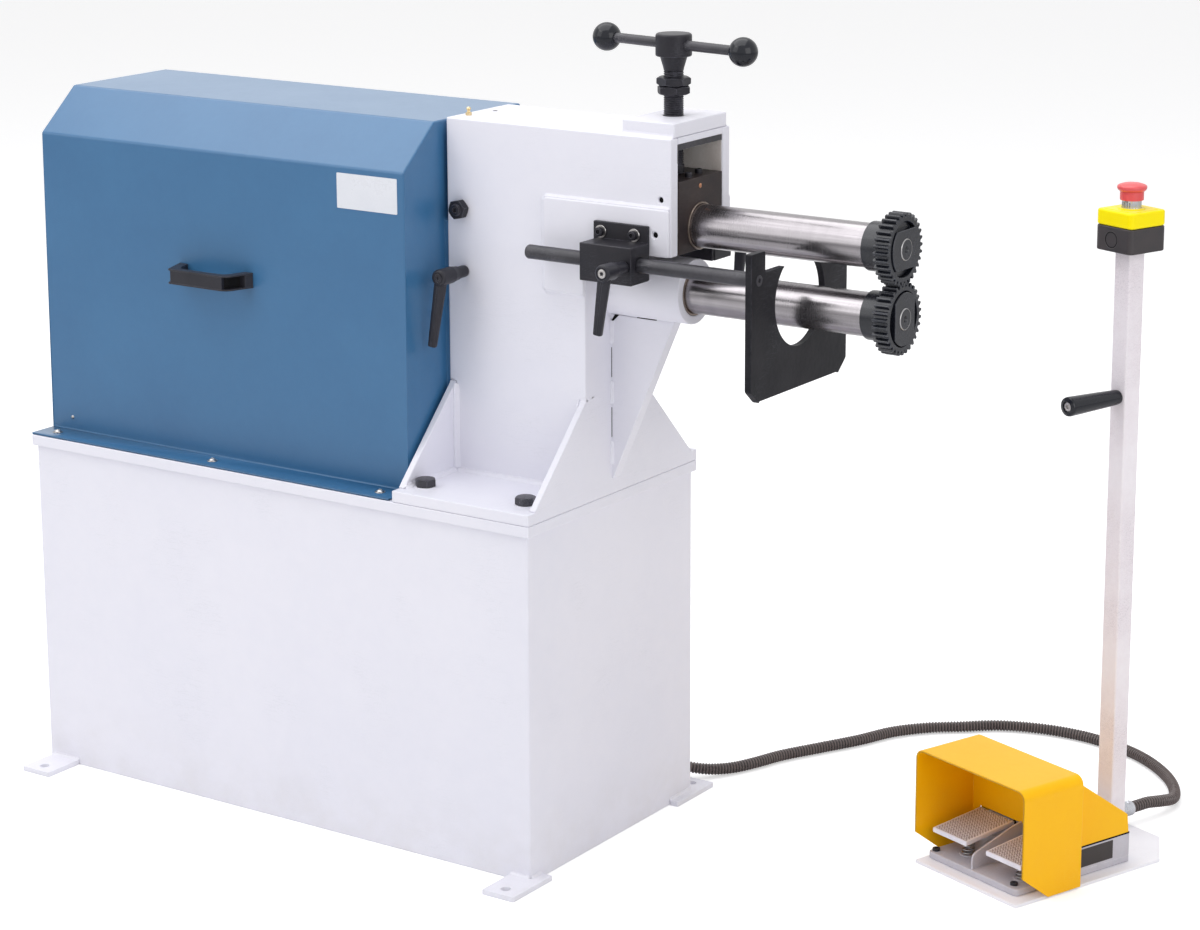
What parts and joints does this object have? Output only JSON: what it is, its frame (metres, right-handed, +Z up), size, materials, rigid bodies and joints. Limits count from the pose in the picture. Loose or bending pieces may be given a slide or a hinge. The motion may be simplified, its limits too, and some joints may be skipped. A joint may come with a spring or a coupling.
{
  "type": "ring roller",
  "caption": "Floor-standing motorised swaging and beading machine with toothed rolls, a sliding fence, a screw-down upper shaft and a foot pedal stand with an emergency stop.",
  "frame": {"origin": "middle of the cabinet's footprint on the floor, on the underside of its bottom panel", "axes": "+X along the machine from the drive cover to the rolls, +Y to the machine's back, +Z up"},
  "size_m": [1.6286, 1.0295, 1.1887],
  "materials": {
    "machine_paint": "satin off-white powder coat",
    "cover_paint": "satin blue powder coat, fine grained",
    "black_steel": "black oxide, slightly oiled",
    "ground_steel": "ground bright, faint turning marks",
    "plain_steel": "plain machined steel",
    "black_plastic": "moulded, matt",
    "motor_paint": "grey motor enamel",
    "guard_yellow": "satin yellow enamel",
    "lid_yellow": "moulded, semi-gloss",
    "pedal_grey": "grey painted casting",
    "red_plastic": "moulded, semi-gloss",
    "nickel": "nickel plated",
    "hose_rubber": "ribbed, satin"
  },
  "bodies": {
    "frame": {"cabinet_shell": "machine_paint", "cabinet_top_plate": "machine_paint", "foot_front_left": "machine_paint", "foot_front_right": "machine_paint", "foot_back_left": "machine_paint", "foot_back_right": "machine_paint", "drive_cover": "cover_paint", "cover_handle": "black_plastic", "column_base_plate": "machine_paint", "column_front_plate": "machine_paint", "column_back_plate": "machine_paint", "column_left_plate": "machine_paint", "column_right_plate": "machine_paint", "column_top_plate": "machine_paint", "lower_bearing_tube": "machine_paint", "gear_motor": "motor_paint", "front_clamp_block": "black_steel", "rear_clamp_block": "black_steel", "front_pivot_screw": "black_steel", "back_pivot_screw": "black_steel", "station_stand": "machine_paint", "estop_box": "black_plastic", "estop_lid": "lid_yellow", "pedal_base": "pedal_grey", "pedal_guard": "guard_yellow", "pedal_hood": "guard_yellow", "left_spring": "plain_steel", "right_spring": "plain_steel", "hose": "hose_rubber", "pole_gland": "nickel", "cabinet_gland": "nickel"},
    "lower_line": {"shaft_coupling": "plain_steel", "lower_shaft": "ground_steel", "lower_gear": "plain_steel", "lower_roll": "black_steel", "lower_roll_nut": "black_steel"},
    "tilting_mount": {"bearing_block": "black_steel", "rear_pivot_block": "black_steel"},
    "upper_line": {"upper_shaft": "ground_steel", "upper_gear": "plain_steel", "upper_roll": "black_steel", "upper_roll_nut": "black_steel"},
    "swivel_foot": {"screw_foot": "plain_steel"},
    "screw_and_handle": {"adjusting_screw": "black_steel", "stop_nuts": "black_steel", "handle_hub": "black_steel", "cross_bar": "black_steel", "left_ball_knob": "black_plastic", "right_ball_knob": "black_plastic"},
    "fence": {"fence_plate": "black_steel", "front_rod": "black_steel", "rear_rod": "black_steel"},
    "front_lever": {"front_clamp_lever": "black_plastic"},
    "rear_lever": {"rear_clamp_lever": "black_plastic"},
    "column_lever": {"column_clamp_lever": "black_plastic"},
    "stop_plunger": {"estop_plunger": "red_plastic"},
    "stop_button": {"estop_button": "red_plastic"},
    "left_pedal_body": {"left_pedal": "pedal_grey"},
    "right_pedal_body": {"right_pedal": "pedal_grey"},
    "grip_sleeve": {"pole_grip": "black_plastic"}
  },
  "joints": [
    {"name": "lower_spin", "type": "hinge", "parent": "frame", "child": "lower_line", "pos_m": [0.6, 0, 0.829], "axis": [1, 0, 0], "continuous": true},
    {"name": "upper_tilt", "type": "hinge", "parent": "frame", "child": "tilting_mount", "pos_m": [0.254, 0, 0.9225], "axis": [0, -1, 0], "range_deg": [0, 3.87]},
    {"name": "upper_spin", "type": "hinge", "parent": "tilting_mount", "child": "upper_line", "pos_m": [0.6, 0, 0.9225], "axis": [1, 0, 0], "continuous": true},
    {"name": "screw_feed", "type": "slide", "parent": "frame", "child": "swivel_foot", "axis": [0, 0, 1], "range_m": [0, 0.021]},
    {"name": "screw_turn", "type": "hinge", "parent": "swivel_foot", "child": "screw_and_handle", "pos_m": [0.562, 0, 1.1], "axis": [0, 0, 1], "range_deg": [0, 2520]},
    {"name": "fence_slide", "type": "slide", "parent": "frame", "child": "fence", "axis": [1, 0, 0], "range_m": [-0.14, 0.09]},
    {"name": "front_lever_turn", "type": "hinge", "parent": "frame", "child": "front_lever", "pos_m": [0.566, -0.16, 0.8815], "axis": [0, -1, 0], "range_deg": [0, 110]},
    {"name": "rear_lever_turn", "type": "hinge", "parent": "frame", "child": "rear_lever", "pos_m": [0.566, 0.16, 0.8815], "axis": [0, 1, 0], "range_deg": [0, 110]},
    {"name": "column_lever_turn", "type": "hinge", "parent": "frame", "child": "column_lever", "pos_m": [0.26, -0.11, 0.834], "axis": [0, -1, 0], "range_deg": [0, 100]},
    {"name": "stop_press", "type": "slide", "parent": "frame", "child": "stop_plunger", "axis": [0, 0, -1], "range_m": [0, 0.004], "stiffness_N_per_m": 2500, "springref_m": -0.002},
    {"name": "stop_twist", "type": "hinge", "parent": "stop_plunger", "child": "stop_button", "pos_m": [1.051, 0.426, 0.955], "axis": [0, 0, -1], "range_deg": [0, 45], "stiffness_Nm_per_rad": 0.05},
    {"name": "left_pedal_press", "type": "hinge", "parent": "frame", "child": "left_pedal_body", "pos_m": [0.96017, 0.27423, 0.057], "axis": [0.9397, -0.342, 0], "range_deg": [0, 8], "stiffness_Nm_per_rad": 12, "springref_deg": -5.73, "deforming": ["left_spring"]},
    {"name": "right_pedal_press", "type": "hinge", "parent": "frame", "child": "right_pedal_body", "pos_m": [1.05649, 0.23917, 0.057], "axis": [0.9397, -0.342, 0], "range_deg": [0, 8], "stiffness_Nm_per_rad": 12, "springref_deg": -5.73, "deforming": ["right_spring"]},
    {"name": "grip_turn", "type": "hinge", "parent": "frame", "child": "grip_sleeve", "pos_m": [1.02884, 0.36523, 0.655], "axis": [-0.342, -0.9397, 0], "continuous": true}
  ],
  "couplings": [
    {"joint": "upper_spin", "follows": "lower_spin", "ratio": -1},
    {"joint": "screw_feed", "follows": "screw_turn", "m_per_rad": 0.00047746},
    {"joint": "upper_tilt", "follows": "screw_turn", "ratio": 0.0015317}
  ]
}
